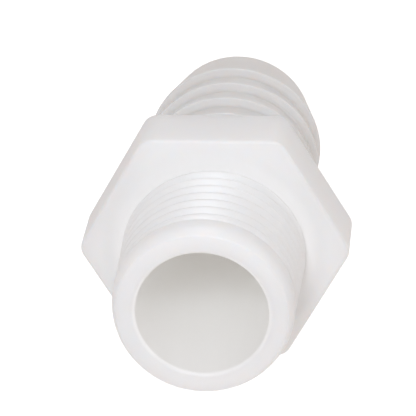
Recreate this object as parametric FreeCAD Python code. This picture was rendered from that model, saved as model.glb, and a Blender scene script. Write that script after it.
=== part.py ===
import FreeCAD, Part
import math
import os

# A moulded nylon hose adapter in millimetres: a tapered male pipe thread, a hexagonal
# collar and a barbed hose tail around one straight bore.
# +Y runs along the bore from the thread to the tail, +Z is up, and the origin is on the
# axis at the collar's thread-side face. Two of the collar's flats face up and down.
# The real fitting is one moulding. Its three working sections are separate solids that
# meet face to face: the spigot carries the tube wall on through the collar, the collar
# is the hexagon around that wall, and the tail starts at the collar's rear face.

# Bore, straight through every section
BORE_RADIUS = 7.6
MOUTH_CHAMFER = 0.3

# Spigot: a smooth nose, then a 1/2-14 taper pipe thread up to the collar
SPIGOT_LENGTH = 16.7
THREAD_PITCH = 25.4 / 14
RADIUS_TAPER = 1 / 32
CREST_RADIUS_AT_END = 10.33
THREAD_DEPTH = 1.3
FLANK_ANGLE = 30.0
GROOVE_AT_TOP = -0.3
RIDGE_OVERRUN = 0.3
NOSE_LENGTH = 3.1
NOSE_STEP = 0.05
NOSE_END_RADIUS = 9.85
NOSE_CHAMFER_LENGTH = 1.1
FLANK_BURIED = 0.06
FOOT_BURIED = 0.1

# Collar
COLLAR_SIDES = 6
ACROSS_FLATS = 28.1
COLLAR_LENGTH = 7.9
CORNER_RADIUS = 2.0
COLLAR_EDGE_CHAMFER = 0.3
HUB_RADIUS = 11.2

# Hose tail
BARB_COUNT = 5
BARB_SPACING = 4.7
BARB_CREST_RADIUS = 10.88
BARB_LAND = 0.4
BARB_ROOT_RADIUS = 9.72
LAST_SHOULDER = 29.75
TAIL_END = 38.45
TAIL_END_RADIUS = 9.06
TAIL_END_CHAMFER = 0.3

SAME_LENGTH = 1e-6
FULL_TURN = 360
QUARTER_TURN = 90

ORIGIN = FreeCAD.Vector(0, 0, 0)
ALONG_X = FreeCAD.Vector(1, 0, 0)
ALONG_Y = FreeCAD.Vector(0, 1, 0)
ALONG_Z = FreeCAD.Vector(0, 0, 1)


def revolved(outline):
    """A closed outline of (position along Y, radius) points, turned about the axis."""
    corners = [FreeCAD.Vector(radius, along, 0) for along, radius in outline]
    face = Part.Face(Part.makePolygon(corners + corners[:1]))
    return face.revolve(ORIGIN, ALONG_Y, FULL_TURN)


def crest_radius(along):
    """The thread's crest radius at a position along Y."""
    return CREST_RADIUS_AT_END + RADIUS_TAPER * (along + SPIGOT_LENGTH)


def spigot_core():
    """The spigot without its ridge: nose, thread root and the hub inside the collar."""
    front = -SPIGOT_LENGTH
    nose_back = front + NOSE_LENGTH
    root_start = nose_back + THREAD_DEPTH
    return revolved([
        (front, BORE_RADIUS + MOUTH_CHAMFER),
        (front, NOSE_END_RADIUS),
        (front + NOSE_CHAMFER_LENGTH, crest_radius(front + NOSE_CHAMFER_LENGTH) + NOSE_STEP),
        (nose_back, crest_radius(nose_back) + NOSE_STEP),
        (root_start, crest_radius(root_start) - THREAD_DEPTH),
        (0, crest_radius(0) - THREAD_DEPTH),
        (0, HUB_RADIUS),
        (COLLAR_LENGTH, HUB_RADIUS),
        (COLLAR_LENGTH, BORE_RADIUS),
        (front + MOUTH_CHAMFER, BORE_RADIUS),
    ])


def ridge_profile(crest):
    """The ridge's section in the XZ plane. Its flanks run on a little below the root."""
    flank_slope = math.tan(math.radians(FLANK_ANGLE))
    crest_half = (THREAD_PITCH / 2 - THREAD_DEPTH * flank_slope) / 2
    foot_half = crest_half + (THREAD_DEPTH + FLANK_BURIED) * flank_slope
    knee = crest - THREAD_DEPTH - FLANK_BURIED
    foot = knee - FOOT_BURIED
    points = [
        FreeCAD.Vector(foot, 0, -foot_half),
        FreeCAD.Vector(knee, 0, -foot_half),
        FreeCAD.Vector(crest, 0, -crest_half),
        FreeCAD.Vector(crest, 0, crest_half),
        FreeCAD.Vector(knee, 0, foot_half),
        FreeCAD.Vector(foot, 0, foot_half),
    ]
    return Part.makePolygon(points + points[:1])


def thread_ridge():
    """The right-hand helical ridge. Both its ends are buried, in the nose and in the hub."""
    start = -SPIGOT_LENGTH + NOSE_LENGTH - THREAD_PITCH / 2 - RIDGE_OVERRUN
    end = THREAD_PITCH / 2 + RIDGE_OVERRUN
    crest = crest_radius(start)
    taper_angle = math.degrees(math.atan(RADIUS_TAPER))
    helix = Part.makeLongHelix(THREAD_PITCH, end - start, crest, taper_angle)
    ridge = Part.Wire(helix.Edges).makePipeShell([ridge_profile(crest)], True, True)
    # The helix climbs along Z from the X axis. It is laid along Y, then turned about Y
    # until the ridge passes the top half a pitch beyond the wanted groove.
    ridge.rotate(ORIGIN, ALONG_X, -QUARTER_TURN)
    ridge.translate(FreeCAD.Vector(0, start, 0))
    turns_to_top = (GROOVE_AT_TOP + THREAD_PITCH / 2 - start) / THREAD_PITCH
    ridge.rotate(ORIGIN, ALONG_Y, -QUARTER_TURN - FULL_TURN * turns_to_top)
    return ridge


def threaded_spigot():
    """Nose, thread and hub: the moulding's tube wall from the spigot's end to the tail."""
    return spigot_core().fuse(thread_ridge()).removeSplitter()


def hex_collar():
    """A hexagonal ring around the hub, flats up and down, with rounded corners."""
    side_angle = math.radians(FULL_TURN / COLLAR_SIDES)
    corner_reach = ACROSS_FLATS / 2 / math.cos(side_angle / 2)
    corners = []
    for step in range(COLLAR_SIDES):
        angle = side_angle * step
        across = corner_reach * math.cos(angle)
        up = corner_reach * math.sin(angle)
        corners.append(FreeCAD.Vector(across, 0, up))
    face = Part.Face(Part.makePolygon(corners + corners[:1]))
    block = face.extrude(FreeCAD.Vector(0, COLLAR_LENGTH, 0))
    long_edges = [edge for edge in block.Edges if abs(edge.Length - COLLAR_LENGTH) < SAME_LENGTH]
    block = block.makeFillet(CORNER_RADIUS, long_edges)
    rims = [edge for edge in block.Edges if edge.BoundBox.YLength < SAME_LENGTH]
    block = block.makeChamfer(COLLAR_EDGE_CHAMFER, rims)
    hole = Part.makeCylinder(HUB_RADIUS, COLLAR_LENGTH, ORIGIN, ALONG_Y)
    return block.cut(hole)


def hose_tail():
    """A neck, then barbs whose shoulders face the collar, then a long lead-in cone."""
    first_shoulder = LAST_SHOULDER - (BARB_COUNT - 1) * BARB_SPACING
    outline = [(COLLAR_LENGTH, BORE_RADIUS), (COLLAR_LENGTH, BARB_ROOT_RADIUS)]
    for step in range(BARB_COUNT):
        shoulder = first_shoulder + step * BARB_SPACING
        outline.append((shoulder, BARB_ROOT_RADIUS))
        outline.append((shoulder, BARB_CREST_RADIUS))
        outline.append((shoulder + BARB_LAND, BARB_CREST_RADIUS))
    outline += [
        (TAIL_END - TAIL_END_CHAMFER, TAIL_END_RADIUS),
        (TAIL_END, TAIL_END_RADIUS - TAIL_END_CHAMFER),
        (TAIL_END, BORE_RADIUS + MOUTH_CHAMFER),
        (TAIL_END - MOUTH_CHAMFER, BORE_RADIUS),
    ]
    return revolved(outline)


def write(name, shape):
    """Export one section after checking that it is a single valid solid."""
    if not shape.isValid() or len(shape.Solids) != 1:
        raise RuntimeError(name + " is not one valid solid")
    Part.Shape(shape.Solids[0]).exportStep("parts/" + name + ".step")
    print(name, "volume", round(shape.Volume, 1), "mm3")


os.makedirs("parts", exist_ok=True)
write("threaded_spigot", threaded_spigot())
write("hex_collar", hex_collar())
write("hose_tail", hose_tail())
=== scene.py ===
import math

import bmesh
import bpy
from mathutils import Matrix, Vector


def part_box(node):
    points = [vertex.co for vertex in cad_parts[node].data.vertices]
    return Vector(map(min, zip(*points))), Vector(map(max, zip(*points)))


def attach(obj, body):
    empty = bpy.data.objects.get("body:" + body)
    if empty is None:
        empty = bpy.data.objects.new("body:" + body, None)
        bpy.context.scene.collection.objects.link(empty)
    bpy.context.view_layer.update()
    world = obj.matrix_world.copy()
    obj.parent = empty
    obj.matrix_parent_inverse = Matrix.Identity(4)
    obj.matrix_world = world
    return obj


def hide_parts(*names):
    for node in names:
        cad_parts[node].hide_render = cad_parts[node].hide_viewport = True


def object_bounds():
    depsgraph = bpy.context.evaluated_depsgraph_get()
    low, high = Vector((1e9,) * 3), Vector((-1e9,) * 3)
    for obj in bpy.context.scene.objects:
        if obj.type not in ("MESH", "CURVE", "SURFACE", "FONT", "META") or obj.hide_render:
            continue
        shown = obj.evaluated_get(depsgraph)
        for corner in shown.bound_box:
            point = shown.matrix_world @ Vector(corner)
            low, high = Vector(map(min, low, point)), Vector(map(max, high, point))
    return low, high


# A moulded natural-nylon hose adapter, in metres, in the CAD frame: +Y runs along the bore
# from the thread to the hose tail, +Z is up through a wrench flat, and the origin is on the
# axis at the collar's thread-side face. The moulding's sizes are in millimetres times MM.
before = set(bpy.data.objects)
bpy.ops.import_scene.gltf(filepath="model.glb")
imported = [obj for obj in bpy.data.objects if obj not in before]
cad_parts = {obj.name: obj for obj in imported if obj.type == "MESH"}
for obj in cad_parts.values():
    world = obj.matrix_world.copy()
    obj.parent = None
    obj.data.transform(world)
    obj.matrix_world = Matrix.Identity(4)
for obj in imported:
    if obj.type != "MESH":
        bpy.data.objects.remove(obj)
cad_bounds = [list(corner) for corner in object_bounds()]

MM = 0.001
COLUMNS = 288
ARC_STEPS = 6
SUPPORT = 0.06 * MM
SAME_POINT = 0.0002 * MM
SHARP_ANGLE = math.radians(60)

# Bore
BORE_RADIUS = 7.6 * MM
MOUTH_ROUNDING = 0.45 * MM

# Spigot: nose and thread
THREAD_PITCH = 25.4 / 14 * MM
RADIUS_TAPER = 1 / 32
CREST_RADIUS_AT_END = 10.33 * MM
THREAD_DEPTH = 1.3 * MM
FLANK_ANGLE = math.radians(30)
GROOVE_AT_TOP = -0.3 * MM
CREST_SOFTNESS = 0.12 * MM
ROOT_SOFTNESS = 0.2 * MM
NOSE_LENGTH = 3.1 * MM
NOSE_STEP = 0.05 * MM
NOSE_END_RADIUS = 9.85 * MM
NOSE_CHAMFER_LENGTH = 1.1 * MM
NOSE_ROUNDING = 4.0 * MM
END_ROUNDING = 0.2 * MM
# Where rows of points stand in the first half of a pitch, from a groove's middle
ROWS_IN_HALF_PITCH = (0, 0.03, 0.06, 0.1, 0.16, 0.22, 0.28, 0.34, 0.4, 0.44, 0.47)
# A row within this share of a pitch from the thread's end stands on the end
END_SNAP = 0.012

# Collar
SIDES = 6
SIDE_ANGLE = 2 * math.pi / SIDES
CORNER_RADIUS = 2.0 * MM
RIM_ROUNDING = 0.35 * MM
CORNER_STEPS = 8
FLAT_STEPS = 28

# Hose tail
BARB_COUNT = 5
BARB_SPACING = 4.7 * MM
BARB_LAND = 0.4 * MM
BARB_ROOT_RADIUS = 9.72 * MM
LAST_SHOULDER = 29.75 * MM
TAIL_END_RADIUS = 9.06 * MM
CREST_ROUNDING = 0.12 * MM
ROOT_ROUNDING = 0.3 * MM
NECK_FLARE = 0.35 * MM

# Nylon
NYLON_LIGHT = (0.99, 0.99, 0.985)
NYLON_MILKY = (0.972, 0.972, 0.967)
# Painted light: the bore wall's colour, the nylon's own white kept a little lighter than the
# outside and free of the sections' painted shade
BORE_PAINTED_LIGHT = (0.992, 0.99, 0.98, 1)
# Painted shade on each section's outside colour, 1 for none: the far tail, whose thinner wall
# lets more light through, is painted darkest
PAINTED_SHADE_SCALE = {"threaded_spigot": 1.0, "hex_collar": 0.97, "hose_tail": 0.79}
SCATTER_RADIUS = (1.0, 0.85, 0.75)
SCATTER_SCALE = 6.0 * MM
JOIN_RADIUS = 11.0 * MM
JOIN_FADE = 2.5 * MM
BORE_SKIN = 0.8 * MM
CLOUD_SIZE = 9 * MM
GRAIN_SIZE = 0.25 * MM
RIPPLE_SIZE = 3.0 * MM
GRAIN_HEIGHT = 0.004 * MM
RIPPLE_HEIGHT = 0.01 * MM
CLOUD_DETAIL = 3
RIPPLE_DETAIL = 2
GRAIN_DETAIL = 2
ROUGHNESS_LOW = 0.33
ROUGHNESS_HIGH = 0.42
NYLON_IOR = 1.53

# Studio, in metres and watts
FLOOR_SIZE = 6.0
FLOOR_WHITE = (0.93, 0.93, 0.93, 1)
FLOOR_ROUGHNESS = 0.9
FLOOR_GLOW = 0.6
ROOM_COLOR = (1.0, 0.945, 0.925, 1)
ROOM_LIGHT = 0.505
ROOM_BELOW = 0.8
HORIZON = 0.1
# Softboxes: name, power in watts, colour, width, direction from the origin, distance
SOFTBOXES = (
    ("key", 0.135, (0.88, 0.93, 1.0), 0.04, (-0.025, -0.84, 0.545), 0.2),
    ("overhead", 0.5, (0.95, 0.97, 1.0), 0.15, (0.0, 0.42, 0.9), 0.6),
    ("right", 1.5, (1.0, 1.0, 1.0), 1.0, (0.9, -0.35, 0.2), 1.5),
)
LIGHT_BOUNCES = 16

# Camera, with angles in radians
CAMERA_PLACE = (0.03188, -0.31729, 0.15448)
CAMERA_AZIMUTH = 0.102
CAMERA_ELEVATION = 0.437
CAMERA_ROLL = 0.032
CAMERA_LENS = 259.6
CAMERA_SENSOR = 36.0
CAMERA_CLIP_START = 0.01

spigot_low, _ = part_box("threaded_spigot")
collar_low, collar_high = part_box("hex_collar")
tail_low, tail_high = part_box("hose_tail")


def corner_arc(before, corner, after, rounding):
    """Points that round one corner of an outline, with a support point on each side."""
    to_before = (before - corner).normalized()
    to_after = (after - corner).normalized()
    opening = to_before.angle(to_after)
    reach = rounding / math.tan(opening / 2)
    centre = corner + (to_before + to_after).normalized() * (rounding / math.sin(opening / 2))
    first = corner + to_before * reach - centre
    last = corner + to_after * reach - centre
    turn = math.pi - opening
    points = [centre + first + to_before * SUPPORT]
    for step in range(ARC_STEPS + 1):
        share = step / ARC_STEPS
        blend = first * math.sin((1 - share) * turn) + last * math.sin(share * turn)
        points.append(centre + blend / math.sin(turn))
    points.append(centre + last + to_after * SUPPORT)
    return points


def rounded(outline):
    """A closed outline of (along, radius, rounding) corners as a list of (along, radius)."""
    corners = [Vector((along, radius)) for along, radius, _ in outline]
    points = []
    for index, (_, _, rounding) in enumerate(outline):
        before = corners[index - 1]
        after = corners[(index + 1) % len(corners)]
        if rounding:
            points += corner_arc(before, corners[index], after, rounding)
        else:
            points.append(corners[index])
    return [(point.x, point.y) for point in points]


def around(angle, along, radius):
    """A point at an angle about +Y, from +Z towards +X."""
    return Vector((radius * math.sin(angle), along, radius * math.cos(angle)))


def mesh_from_columns(name, columns):
    """A closed mesh from columns of points. Each column is a closed loop, and the last column
    stands in the first one's place. Points that share a place become one."""
    shape = bmesh.new()
    grid = [[shape.verts.new(point) for point in column] for column in columns]
    for left, right in zip(grid, grid[1:]):
        for row in range(len(left)):
            shape.faces.new((left[row - 1], left[row], right[row], right[row - 1]))
    bmesh.ops.remove_doubles(shape, verts=shape.verts, dist=SAME_POINT)
    bmesh.ops.recalc_face_normals(shape, faces=shape.faces)
    mesh = bpy.data.meshes.new(name)
    shape.to_mesh(mesh)
    shape.free()
    mesh.shade_smooth()
    mesh.set_sharp_from_angle(angle=SHARP_ANGLE)
    piece = bpy.data.objects.new(name, mesh)
    bpy.context.scene.collection.objects.link(piece)
    return piece


def smooth_max(first, second, softness):
    """The larger of two numbers, rounded over where they are nearly the same."""
    overlap = max(softness - abs(first - second), 0) / softness
    return max(first, second) + overlap * overlap * softness / 4


def smooth_min(first, second, softness):
    """The smaller of two numbers, rounded over in the same way."""
    return -smooth_max(-first, -second, softness)


def crest_radius(along):
    """The thread's crest radius at a position along Y."""
    return CREST_RADIUS_AT_END + RADIUS_TAPER * (along - spigot_low.y)


def thread_radius(along, angle):
    """The threaded surface's radius: the ridge, or the cone that leads down from the nose."""
    turns = (along - GROOVE_AT_TOP) / THREAD_PITCH - angle / (2 * math.pi)
    from_groove = abs(turns - round(turns)) * THREAD_PITCH
    half_land = (THREAD_PITCH / 2 - THREAD_DEPTH * math.tan(FLANK_ANGLE)) / 2
    height = (from_groove - half_land) / math.tan(FLANK_ANGLE)
    height = smooth_max(height, 0, ROOT_SOFTNESS)
    height = smooth_min(height, THREAD_DEPTH, CREST_SOFTNESS)
    ridge = crest_radius(along) - THREAD_DEPTH + height
    nose_back = spigot_low.y + NOSE_LENGTH
    lead_down = crest_radius(nose_back) + NOSE_STEP - (along - nose_back)
    return smooth_max(ridge, lead_down, CREST_SOFTNESS)


def thread_rows(angle):
    """Positions along Y of one column's thread rows, which follow the helix. Rows that the
    helix carries past either end of the thread stand on that end."""
    shares = list(ROWS_IN_HALF_PITCH) + [0.5]
    shares += [1 - share for share in reversed(ROWS_IN_HALF_PITCH[1:])]
    front = spigot_low.y + NOSE_LENGTH
    turns = math.ceil((GROOVE_AT_TOP - front) / THREAD_PITCH) + 1
    snap = END_SNAP * THREAD_PITCH
    rows = []
    for turn in range(-turns - 1, 2):
        for share in shares:
            along = GROOVE_AT_TOP + THREAD_PITCH * (turn + share + angle / (2 * math.pi))
            if along < front + snap:
                along = front
            if along > -snap:
                along = 0.0
            rows.append(along)
    return rows


def spigot():
    """A rounded nose and a right-hand taper thread as one height field around the bore."""
    front = spigot_low.y
    nose_back = front + NOSE_LENGTH
    chamfer_back = front + NOSE_CHAMFER_LENGTH
    nose_top = crest_radius(nose_back) + NOSE_STEP
    front_part = rounded([
        (0, BORE_RADIUS, 0),
        (front, BORE_RADIUS, MOUTH_ROUNDING),
        (front, NOSE_END_RADIUS, END_ROUNDING),
        (chamfer_back, crest_radius(chamfer_back) + NOSE_STEP, NOSE_ROUNDING),
        (nose_back - SUPPORT, nose_top, 0),
    ])
    columns = []
    for column in range(COLUMNS + 1):
        angle = 2 * math.pi * column / COLUMNS
        points = [around(angle, along, radius) for along, radius in front_part]
        for along in thread_rows(angle):
            points.append(around(angle, along, thread_radius(along, angle)))
        columns.append(points)
    return mesh_from_columns("threaded_spigot_nylon", columns)


def hexagon(inset):
    """Points round the collar's rounded hexagon, drawn in by inset, from +Z towards +X."""
    apothem = collar_high.z - inset
    rounding = CORNER_RADIUS - inset
    corner_centre = (apothem - rounding) / math.cos(SIDE_ANGLE / 2)
    points = []
    for side in range(SIDES):
        facing = SIDE_ANGLE * side
        half_flat = (apothem - rounding) * math.tan(SIDE_ANGLE / 2)
        for step in range(FLAT_STEPS + 1):
            across = half_flat * math.sin(math.pi * (step / FLAT_STEPS - 0.5))
            normal = around(facing, 0, 1)
            tangent = around(facing + math.pi / 2, 0, 1)
            points.append(normal * apothem + tangent * across)
        centre = around(facing + SIDE_ANGLE / 2, 0, corner_centre)
        for step in range(1, CORNER_STEPS):
            turned = facing + SIDE_ANGLE * step / CORNER_STEPS
            points.append(centre + around(turned, 0, rounding))
    return points


def rim(face, inwards):
    """Points (along, inset) that round one of the collar's rims, from its face to its flats.
    Inwards is 1 or -1, the way along Y from the face into the collar."""
    points = [(face, RIM_ROUNDING + SUPPORT)]
    for step in range(ARC_STEPS + 1):
        turn = math.pi / 2 * step / ARC_STEPS
        depth = RIM_ROUNDING * (1 - math.cos(turn))
        points.append((face + inwards * depth, RIM_ROUNDING * (1 - math.sin(turn))))
    points.append((face + inwards * (RIM_ROUNDING + SUPPORT), 0))
    return points


def collar():
    """The wrench hexagon: flat faces, rounded corners and rims, and the bore through it."""
    front, back = collar_low.y, collar_high.y
    loops = []
    for along, inset in rim(front, 1) + rim(back, -1)[::-1]:
        loops.append([point + Vector((0, along, 0)) for point in hexagon(inset)])
    for along in (back, front):
        ring = []
        for point in hexagon(0):
            ring.append(around(math.atan2(point.x, point.z), along, BORE_RADIUS))
        loops.append(ring)
    columns = [list(column) for column in zip(*loops)]
    return mesh_from_columns("hex_collar_nylon", columns + columns[:1])


def tail():
    """A neck, barbs whose shoulders face the collar, and a long lead-in cone."""
    start, end = tail_low.y, tail_high.y
    crest = tail_high.x
    first_shoulder = LAST_SHOULDER - (BARB_COUNT - 1) * BARB_SPACING
    outline = [
        (start, BORE_RADIUS, 0),
        (start, BARB_ROOT_RADIUS + NECK_FLARE, 0),
        (start + NECK_FLARE, BARB_ROOT_RADIUS, NECK_FLARE),
    ]
    for barb in range(BARB_COUNT):
        shoulder = first_shoulder + barb * BARB_SPACING
        outline += [
            (shoulder, BARB_ROOT_RADIUS, ROOT_ROUNDING),
            (shoulder, crest, CREST_ROUNDING),
            (shoulder + BARB_LAND, crest, CREST_ROUNDING),
        ]
    outline += [
        (end, TAIL_END_RADIUS, MOUTH_ROUNDING),
        (end, BORE_RADIUS, MOUTH_ROUNDING),
    ]
    profile = rounded(outline)
    columns = []
    for column in range(COLUMNS + 1):
        angle = 2 * math.pi * column / COLUMNS
        columns.append([around(angle, along, radius) for along, radius in profile])
    return mesh_from_columns("hose_tail_nylon", columns)


def noise(tree, size, detail):
    """A noise texture with features of about that size in metres."""
    place = tree.nodes.new("ShaderNodeTexCoord")
    texture = tree.nodes.new("ShaderNodeTexNoise")
    texture.inputs["Scale"].default_value = 1 / size
    texture.inputs["Detail"].default_value = detail
    tree.links.new(place.outputs["Object"], texture.inputs["Vector"])
    return texture


def math_node(tree, operation, first, second):
    """A maths node. Each input is a number or another node's output."""
    node = tree.nodes.new("ShaderNodeMath")
    node.operation = operation
    for socket, value in zip(node.inputs, (first, second)):
        if isinstance(value, (int, float)):
            socket.default_value = value
        else:
            tree.links.new(value, socket)
    return node.outputs["Value"]


def fade_in(tree, distance, reach):
    """0 up to a distance of 0, rising smoothly to 1 at reach."""
    fade = tree.nodes.new("ShaderNodeMapRange")
    fade.interpolation_type = "SMOOTHSTEP"
    fade.inputs["From Max"].default_value = reach
    tree.links.new(distance, fade.inputs["Value"])
    return fade.outputs["Result"]


def place_in_moulding(tree):
    """Two outputs: the position along the bore, and the distance from its axis."""
    place = tree.nodes.new("ShaderNodeTexCoord")
    axes = tree.nodes.new("ShaderNodeSeparateXYZ")
    tree.links.new(place.outputs["Object"], axes.inputs["Vector"])
    across = math_node(tree, "MULTIPLY", axes.outputs["X"], axes.outputs["X"])
    up = math_node(tree, "MULTIPLY", axes.outputs["Z"], axes.outputs["Z"])
    radius = math_node(tree, "SQRT", math_node(tree, "ADD", across, up), 0)
    return axes.outputs["Y"], radius


def away_from_bore(tree, radius):
    """0 on the bore's wall and 1 outside it."""
    from_bore = math_node(tree, "SUBTRACT", radius, BORE_RADIUS)
    return fade_in(tree, from_bore, BORE_SKIN)


def away_from_joins(tree, along, radius):
    """0 where two sections meet, out to the thread's crests, and 1 elsewhere. Light that
    scatters inside one section can't pass into the next, and this keeps that from showing
    as a dark line where the real moulding is continuous."""
    from_joins = []
    for join in (collar_low.y, collar_high.y):
        offset = math_node(tree, "SUBTRACT", along, join)
        from_joins.append(math_node(tree, "ABSOLUTE", offset, 0))
    nearest_join = math_node(tree, "MINIMUM", from_joins[0], from_joins[1])
    outside_join = math_node(tree, "SUBTRACT", radius, JOIN_RADIUS)
    from_join = math_node(tree, "MAXIMUM", nearest_join, outside_join)
    return fade_in(tree, from_join, JOIN_FADE)


def nylon(name, painted_shade_scale):
    """Natural nylon as moulded: milky, scattering light below a satin skin. Its outside
    colour carries painted shade by the section's scale, and the bore wall a lighter white as
    painted light."""
    material = bpy.data.materials.new(name)
    material.use_nodes = True
    tree = material.node_tree
    shader = tree.nodes["Principled BSDF"]

    clouds = noise(tree, CLOUD_SIZE, CLOUD_DETAIL)
    # Cloudy tone at random, multiplied by the section's painted shade
    tint = tree.nodes.new("ShaderNodeMix")
    tint.data_type = "RGBA"
    tint.inputs["A"].default_value = [channel * painted_shade_scale for channel in NYLON_MILKY] + [1]
    tint.inputs["B"].default_value = [channel * painted_shade_scale for channel in NYLON_LIGHT] + [1]
    tree.links.new(clouds.outputs["Fac"], tint.inputs["Factor"])
    along, radius = place_in_moulding(tree)
    outside = away_from_bore(tree, radius)
    # Painted light: the bore wall takes the lighter bore colour, which fades into the
    # outside's tint
    color = tree.nodes.new("ShaderNodeMix")
    color.data_type = "RGBA"
    color.inputs["A"].default_value = BORE_PAINTED_LIGHT
    tree.links.new(tint.outputs["Result"], color.inputs["B"])
    tree.links.new(outside, color.inputs["Factor"])
    tree.links.new(color.outputs["Result"], shader.inputs["Base Color"])

    ripple = noise(tree, RIPPLE_SIZE, RIPPLE_DETAIL)
    polish = tree.nodes.new("ShaderNodeMapRange")
    polish.inputs["To Min"].default_value = ROUGHNESS_LOW
    polish.inputs["To Max"].default_value = ROUGHNESS_HIGH
    tree.links.new(ripple.outputs["Fac"], polish.inputs["Value"])
    tree.links.new(polish.outputs["Result"], shader.inputs["Roughness"])

    grain = noise(tree, GRAIN_SIZE, GRAIN_DETAIL)
    wavy = tree.nodes.new("ShaderNodeBump")
    wavy.inputs["Distance"].default_value = RIPPLE_HEIGHT
    tree.links.new(ripple.outputs["Fac"], wavy.inputs["Height"])
    grainy = tree.nodes.new("ShaderNodeBump")
    grainy.inputs["Distance"].default_value = GRAIN_HEIGHT
    tree.links.new(grain.outputs["Fac"], grainy.inputs["Height"])
    tree.links.new(wavy.outputs["Normal"], grainy.inputs["Normal"])
    tree.links.new(grainy.outputs["Normal"], shader.inputs["Normal"])

    shader.subsurface_method = "RANDOM_WALK"
    scatter = math_node(tree, "MULTIPLY", away_from_joins(tree, along, radius), outside)
    tree.links.new(scatter, shader.inputs["Subsurface Weight"])
    shader.inputs["Subsurface Radius"].default_value = SCATTER_RADIUS
    shader.inputs["Subsurface Scale"].default_value = SCATTER_SCALE
    shader.inputs["IOR"].default_value = NYLON_IOR
    return material


def floor():
    """A pale glowing table that the collar's bottom flat rests on. The part isn't lit by it,
    but by the room's lower half."""
    height = cad_bounds[0][2]
    half = FLOOR_SIZE / 2
    mesh = bpy.data.meshes.new("table_top")
    corners = [(across * half, along * half, height)
               for across, along in ((-1, -1), (1, -1), (1, 1), (-1, 1))]
    mesh.from_pydata(corners, [], [(0, 1, 2, 3)])
    table = bpy.data.objects.new("table_top", mesh)
    bpy.context.scene.collection.objects.link(table)
    material = bpy.data.materials.new("pale_table")
    material.use_nodes = True
    shader = material.node_tree.nodes["Principled BSDF"]
    shader.inputs["Base Color"].default_value = FLOOR_WHITE
    shader.inputs["Roughness"].default_value = FLOOR_ROUGHNESS
    shader.inputs["Specular IOR Level"].default_value = 0.0
    shader.inputs["Emission Color"].default_value = (1, 1, 1, 1)
    shader.inputs["Emission Strength"].default_value = FLOOR_GLOW
    mesh.materials.append(material)
    table.visible_diffuse = False
    table.visible_glossy = False


def soft_light(name, power, color, size, direction, distance):
    """A square softbox that looks at the origin from a direction."""
    lamp = bpy.data.lights.new(name, "AREA")
    lamp.energy = power
    lamp.color = color
    lamp.size = size
    box = bpy.data.objects.new(name, lamp)
    bpy.context.scene.collection.objects.link(box)
    place = Vector(direction).normalized()
    box.location = place * distance
    box.rotation_euler = place.to_track_quat("Z", "Y").to_euler()


def room():
    """An evenly white room, a little brighter below the horizon, where the pale table is."""
    world = bpy.data.worlds.new("white_room")
    world.use_nodes = True
    tree = world.node_tree
    background = tree.nodes["Background"]
    background.inputs["Color"].default_value = ROOM_COLOR
    place = tree.nodes.new("ShaderNodeTexCoord")
    axes = tree.nodes.new("ShaderNodeSeparateXYZ")
    tree.links.new(place.outputs["Generated"], axes.inputs["Vector"])
    brightness = tree.nodes.new("ShaderNodeMapRange")
    brightness.inputs["From Min"].default_value = -HORIZON
    brightness.inputs["From Max"].default_value = HORIZON
    brightness.inputs["To Min"].default_value = ROOM_BELOW
    brightness.inputs["To Max"].default_value = ROOM_LIGHT
    tree.links.new(axes.outputs["Z"], brightness.inputs["Value"])
    tree.links.new(brightness.outputs["Result"], background.inputs["Strength"])
    bpy.context.scene.world = world


def camera():
    """The camera, aimed by its azimuth from +Y, its elevation and its roll."""
    eye = bpy.data.cameras.new("camera")
    eye.sensor_width = CAMERA_SENSOR
    eye.lens = CAMERA_LENS
    eye.clip_start = CAMERA_CLIP_START
    holder = bpy.data.objects.new("camera", eye)
    bpy.context.scene.collection.objects.link(holder)
    turned = Matrix.Rotation(CAMERA_AZIMUTH, 4, "Z")
    tipped = Matrix.Rotation(math.pi / 2 - CAMERA_ELEVATION, 4, "X")
    rolled = Matrix.Rotation(-CAMERA_ROLL, 4, "Z")
    holder.matrix_world = Matrix.Translation(CAMERA_PLACE) @ turned @ tipped @ rolled
    bpy.context.scene.camera = holder


# Each section's nylon gets its own painted shade scale
for node, build in (("threaded_spigot", spigot), ("hex_collar", collar), ("hose_tail", tail)):
    piece = build()
    piece.data.materials.append(nylon(node + "_material", PAINTED_SHADE_SCALE[node]))
    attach(piece, "root")
    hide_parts(node)

floor()
for softbox in SOFTBOXES:
    soft_light(*softbox)
room()
camera()
bpy.context.scene.view_settings.view_transform = "Standard"
bpy.context.scene.view_settings.look = "None"
bpy.context.scene.cycles.diffuse_bounces = LIGHT_BOUNCES
bpy.context.scene.cycles.max_bounces = LIGHT_BOUNCES
